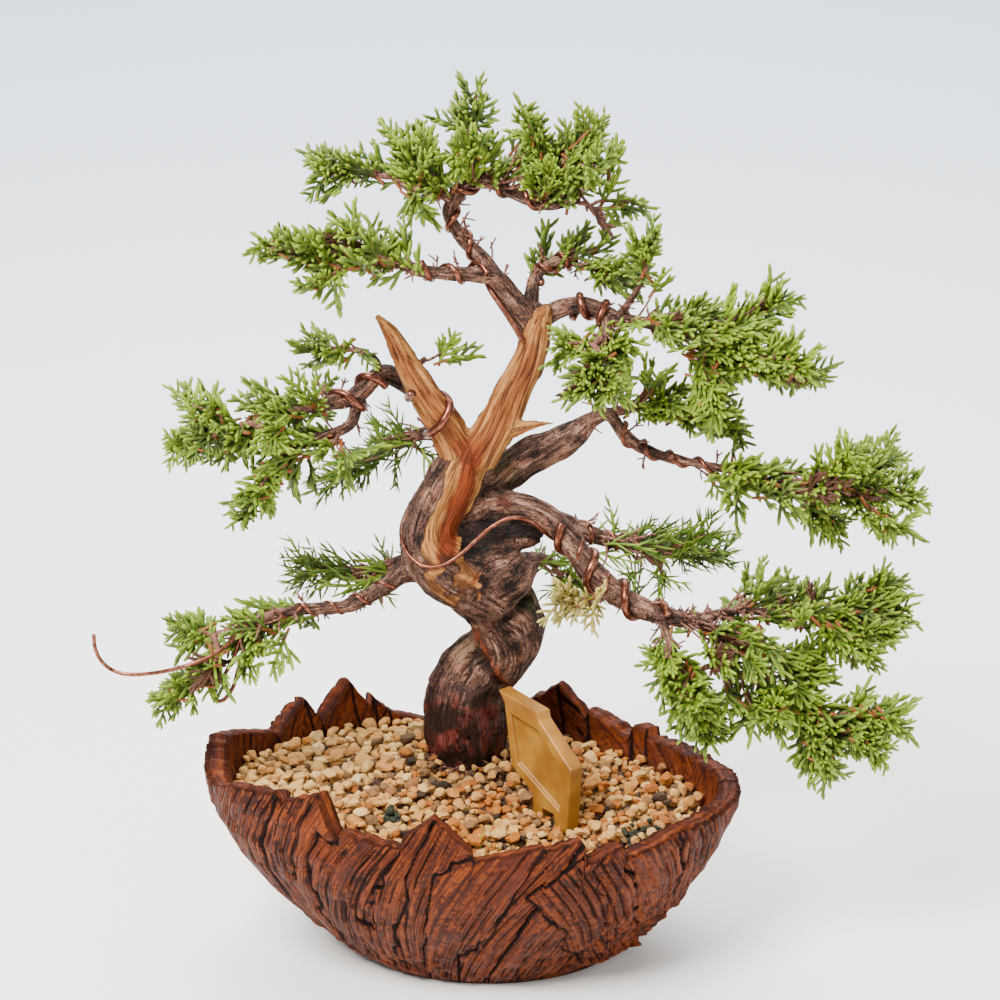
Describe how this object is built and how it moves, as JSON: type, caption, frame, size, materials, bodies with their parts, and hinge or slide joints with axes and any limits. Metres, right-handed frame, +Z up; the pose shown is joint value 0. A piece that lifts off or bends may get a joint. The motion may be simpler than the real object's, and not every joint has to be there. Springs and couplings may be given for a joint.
{
  "type": "potted bonsai tree",
  "caption": "Wire-trained juniper bonsai with a twisted trunk, split deadwood and sprays of scale foliage, in an oval bark-textured ceramic bowl of granular soil with a blank label.",
  "frame": {"origin": "on the pot's flat foot, under the middle of its rim", "axes": "+Z up, +X to the viewer's right along the pot's length, +Y away from the viewer"},
  "size_m": [0.3015, 0.1394, 0.3272],
  "materials": {
    "bark": "fissured grey-brown bark, dark and damp at the base, with bare orange-tan deadwood",
    "foliage": "satin scale-leaved shoots, yellow-green with paler tips",
    "wire": "copper-brown anodised, satin",
    "granules": "matt tan, orange and grey baked-clay and pumice granules",
    "ceramic": "red-brown stoneware torn like bark, semi-gloss with dark oxide in its grooves",
    "screen": "black moulded net",
    "label": "waxy yellow, blank"
  },
  "bodies": {
    "root": {"tree": "bark", "wire_heavy_limb": "wire", "wire_heavy_limb_thin": "wire", "wire_left_snag": "wire", "wire_upper_left": "wire", "wire_low_left": "wire", "wire_low_left_loop": "wire", "wire_apex": "wire", "wire_crown_left": "wire", "wire_crown_back": "wire", "wire_upper_right": "wire", "wire_right_middle": "wire", "wire_right_back": "wire", "foliage_crown_left": "foliage", "foliage_crown_middle": "foliage", "foliage_crown_right": "foliage", "foliage_crown_tip": "foliage", "foliage_crown_back": "foliage", "foliage_left_crown": "foliage", "foliage_upper_right": "foliage", "foliage_upright_sprig": "foliage", "foliage_front_sprig": "foliage", "foliage_inner_right": "foliage", "foliage_right_middle": "foliage", "foliage_right_back": "foliage", "foliage_low_right_top": "foliage", "foliage_low_right": "foliage", "foliage_low_right_inner": "foliage", "foliage_upper_left": "foliage", "foliage_upper_left_low": "foliage", "foliage_top_sprig": "foliage", "foliage_fork_sprig": "foliage", "foliage_middle_left": "foliage", "foliage_low_left": "foliage", "foliage_back_left": "foliage", "foliage_back_low": "foliage", "foliage_pale_sprig": "foliage", "drain_screen_left": "screen", "drain_screen_right": "screen", "soil": "granules", "pot": "ceramic", "plant_label": "label"}
  },
  "joints": []
}
